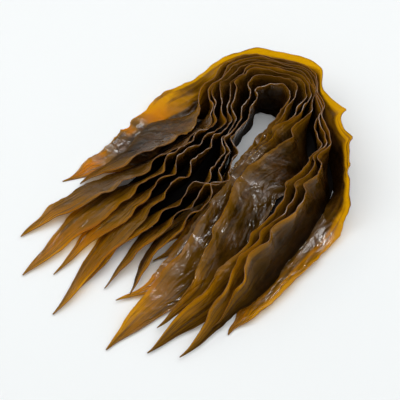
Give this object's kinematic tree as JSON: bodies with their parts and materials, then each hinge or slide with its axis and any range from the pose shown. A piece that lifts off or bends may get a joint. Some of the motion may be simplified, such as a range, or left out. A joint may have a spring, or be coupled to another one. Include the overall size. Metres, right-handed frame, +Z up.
{
  "type": "folded kelp bunch",
  "caption": "Bunch of long, thin, wavy-edged kelp blades folded double like a hairpin, with an open loop at the bend and two arms ending in long pointed tips.",
  "frame": {"origin": "centre of the bunch's box, on the table it lies on", "axes": "+Z up from the table, +Y toward the bend, +X to the right when the bend is at the far end"},
  "size_m": [0.3254, 0.3654, 0.051],
  "materials": {
    "wet_kelp": "moist, glossy olive-brown kelp skin, amber where a single layer is lit through"
  },
  "bodies": {
    "root": {"kelp_bunch": "wet_kelp"}
  },
  "joints": []
}
